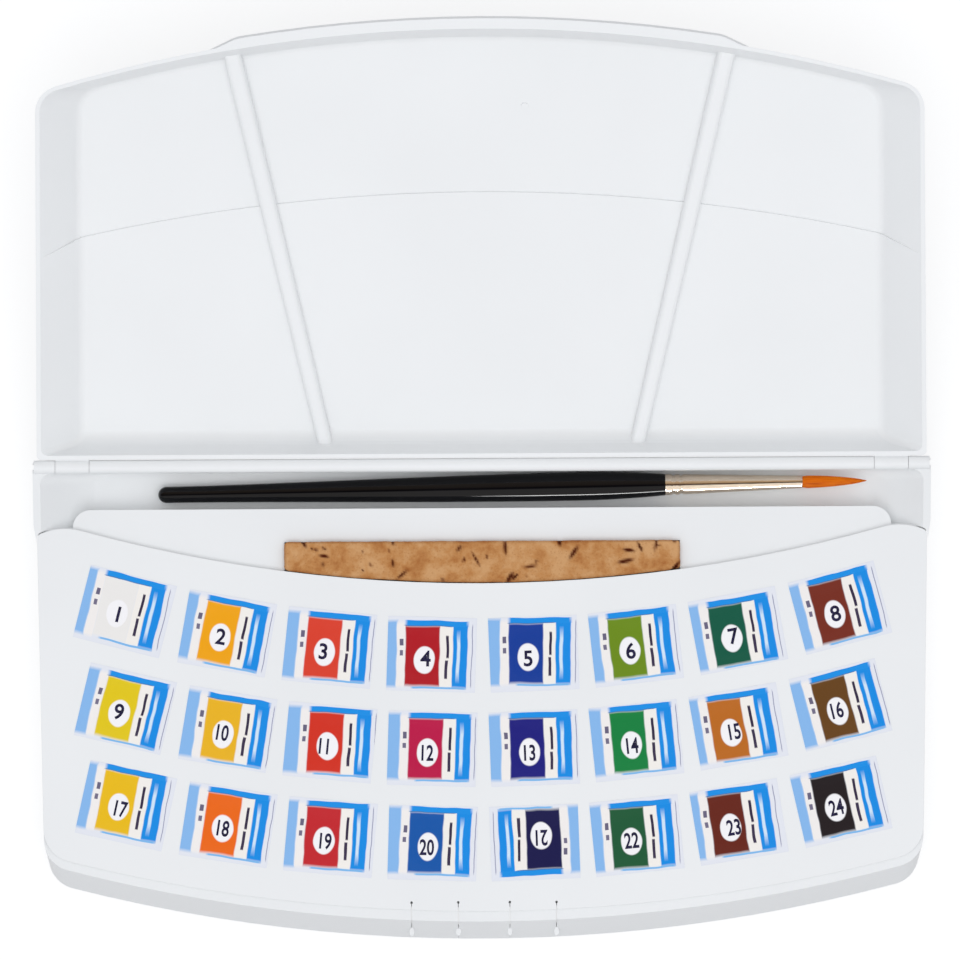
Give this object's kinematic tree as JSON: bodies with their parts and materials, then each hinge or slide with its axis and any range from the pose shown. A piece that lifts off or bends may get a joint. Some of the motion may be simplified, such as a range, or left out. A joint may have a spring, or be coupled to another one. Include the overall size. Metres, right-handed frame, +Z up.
{
  "type": "watercolor paint box",
  "caption": "Flat white paint box, open, with a curved lift-out tray of wrapped half pans, a brush in a trough, a strip of sponge and a hinged lid with mixing wells.",
  "frame": {"origin": "middle of the base's flat underside, halfway from the hinge axis wall to the front", "axes": "+Z up out of the box, +Y from the front towards the hinge and the open lid, +X to the right seen from the front"},
  "size_m": [0.202, 0.2064, 0.0493],
  "materials": {
    "white_plastic": "moulded white, semi-gloss",
    "steel": "plain steel wire",
    "black_lacquer": "turned wood under black gloss lacquer",
    "nickel": "seamless nickel-plated tube",
    "bristle": "golden synthetic hair",
    "sponge": "dry open-pored sponge",
    "pan_plastic": "moulded white cup with a block of paint",
    "label_paper": "coated label paper under clear film"
  },
  "bodies": {
    "base": {"base_shell": "white_plastic", "hinge_pin_left": "steel", "hinge_pin_right": "steel"},
    "lid": {"lid_shell": "white_plastic"},
    "tray": {"pan_tray": "white_plastic"},
    "brush": {"brush_handle": "black_lacquer", "brush_ferrule": "nickel", "brush_tuft": "bristle"},
    "sponge": {"sponge": "sponge"},
    "half_pan_01": {"pan_01": "pan_plastic", "wrapper_01": "label_paper"},
    "half_pan_02": {"pan_02": "pan_plastic", "wrapper_02": "label_paper"},
    "half_pan_03": {"pan_03": "pan_plastic", "wrapper_03": "label_paper"},
    "half_pan_04": {"pan_04": "pan_plastic", "wrapper_04": "label_paper"},
    "half_pan_05": {"pan_05": "pan_plastic", "wrapper_05": "label_paper"},
    "half_pan_06": {"pan_06": "pan_plastic", "wrapper_06": "label_paper"},
    "half_pan_07": {"pan_07": "pan_plastic", "wrapper_07": "label_paper"},
    "half_pan_08": {"pan_08": "pan_plastic", "wrapper_08": "label_paper"},
    "half_pan_09": {"pan_09": "pan_plastic", "wrapper_09": "label_paper"},
    "half_pan_10": {"pan_10": "pan_plastic", "wrapper_10": "label_paper"},
    "half_pan_11": {"pan_11": "pan_plastic", "wrapper_11": "label_paper"},
    "half_pan_12": {"pan_12": "pan_plastic", "wrapper_12": "label_paper"},
    "half_pan_13": {"pan_13": "pan_plastic", "wrapper_13": "label_paper"},
    "half_pan_14": {"pan_14": "pan_plastic", "wrapper_14": "label_paper"},
    "half_pan_15": {"pan_15": "pan_plastic", "wrapper_15": "label_paper"},
    "half_pan_16": {"pan_16": "pan_plastic", "wrapper_16": "label_paper"},
    "half_pan_17": {"pan_17": "pan_plastic", "wrapper_17": "label_paper"},
    "half_pan_18": {"pan_18": "pan_plastic", "wrapper_18": "label_paper"},
    "half_pan_19": {"pan_19": "pan_plastic", "wrapper_19": "label_paper"},
    "half_pan_20": {"pan_20": "pan_plastic", "wrapper_20": "label_paper"},
    "half_pan_21": {"pan_21": "pan_plastic", "wrapper_21": "label_paper"},
    "half_pan_22": {"pan_22": "pan_plastic", "wrapper_22": "label_paper"},
    "half_pan_23": {"pan_23": "pan_plastic", "wrapper_23": "label_paper"},
    "half_pan_24": {"pan_24": "pan_plastic", "wrapper_24": "label_paper"}
  },
  "joints": [
    {"name": "lid_hinge", "type": "hinge", "parent": "base", "child": "lid", "pos_m": [0, 0.05275, 0.0172], "axis": [-1, 0, 0], "range_deg": [-162, 0]},
    {"name": "tray_lift", "type": "slide", "parent": "base", "child": "tray", "axis": [0, 0, 1], "range_m": [0, 0.025]},
    {"name": "brush_lift", "type": "slide", "parent": "base", "child": "brush", "axis": [0, 0, 1], "range_m": [0, 0.03]},
    {"name": "sponge_lift", "type": "slide", "parent": "base", "child": "sponge", "axis": [0, 0, 1], "range_m": [0, 0.02]},
    {"name": "pan_lift_01", "type": "slide", "parent": "tray", "child": "half_pan_01", "axis": [0, 0, 1], "range_m": [0, 0.014]},
    {"name": "pan_lift_02", "type": "slide", "parent": "tray", "child": "half_pan_02", "axis": [0, 0, 1], "range_m": [0, 0.014]},
    {"name": "pan_lift_03", "type": "slide", "parent": "tray", "child": "half_pan_03", "axis": [0, 0, 1], "range_m": [0, 0.014]},
    {"name": "pan_lift_04", "type": "slide", "parent": "tray", "child": "half_pan_04", "axis": [0, 0, 1], "range_m": [0, 0.014]},
    {"name": "pan_lift_05", "type": "slide", "parent": "tray", "child": "half_pan_05", "axis": [0, 0, 1], "range_m": [0, 0.014]},
    {"name": "pan_lift_06", "type": "slide", "parent": "tray", "child": "half_pan_06", "axis": [0, 0, 1], "range_m": [0, 0.014]},
    {"name": "pan_lift_07", "type": "slide", "parent": "tray", "child": "half_pan_07", "axis": [0, 0, 1], "range_m": [0, 0.014]},
    {"name": "pan_lift_08", "type": "slide", "parent": "tray", "child": "half_pan_08", "axis": [0, 0, 1], "range_m": [0, 0.014]},
    {"name": "pan_lift_09", "type": "slide", "parent": "tray", "child": "half_pan_09", "axis": [0, 0, 1], "range_m": [0, 0.014]},
    {"name": "pan_lift_10", "type": "slide", "parent": "tray", "child": "half_pan_10", "axis": [0, 0, 1], "range_m": [0, 0.014]},
    {"name": "pan_lift_11", "type": "slide", "parent": "tray", "child": "half_pan_11", "axis": [0, 0, 1], "range_m": [0, 0.014]},
    {"name": "pan_lift_12", "type": "slide", "parent": "tray", "child": "half_pan_12", "axis": [0, 0, 1], "range_m": [0, 0.014]},
    {"name": "pan_lift_13", "type": "slide", "parent": "tray", "child": "half_pan_13", "axis": [0, 0, 1], "range_m": [0, 0.014]},
    {"name": "pan_lift_14", "type": "slide", "parent": "tray", "child": "half_pan_14", "axis": [0, 0, 1], "range_m": [0, 0.014]},
    {"name": "pan_lift_15", "type": "slide", "parent": "tray", "child": "half_pan_15", "axis": [0, 0, 1], "range_m": [0, 0.014]},
    {"name": "pan_lift_16", "type": "slide", "parent": "tray", "child": "half_pan_16", "axis": [0, 0, 1], "range_m": [0, 0.014]},
    {"name": "pan_lift_17", "type": "slide", "parent": "tray", "child": "half_pan_17", "axis": [0, 0, 1], "range_m": [0, 0.014]},
    {"name": "pan_lift_18", "type": "slide", "parent": "tray", "child": "half_pan_18", "axis": [0, 0, 1], "range_m": [0, 0.014]},
    {"name": "pan_lift_19", "type": "slide", "parent": "tray", "child": "half_pan_19", "axis": [0, 0, 1], "range_m": [0, 0.014]},
    {"name": "pan_lift_20", "type": "slide", "parent": "tray", "child": "half_pan_20", "axis": [0, 0, 1], "range_m": [0, 0.014]},
    {"name": "pan_lift_21", "type": "slide", "parent": "tray", "child": "half_pan_21", "axis": [0, 0, 1], "range_m": [0, 0.014]},
    {"name": "pan_lift_22", "type": "slide", "parent": "tray", "child": "half_pan_22", "axis": [0, 0, 1], "range_m": [0, 0.014]},
    {"name": "pan_lift_23", "type": "slide", "parent": "tray", "child": "half_pan_23", "axis": [0, 0, 1], "range_m": [0, 0.014]},
    {"name": "pan_lift_24", "type": "slide", "parent": "tray", "child": "half_pan_24", "axis": [0, 0, 1], "range_m": [0, 0.014]}
  ]
}
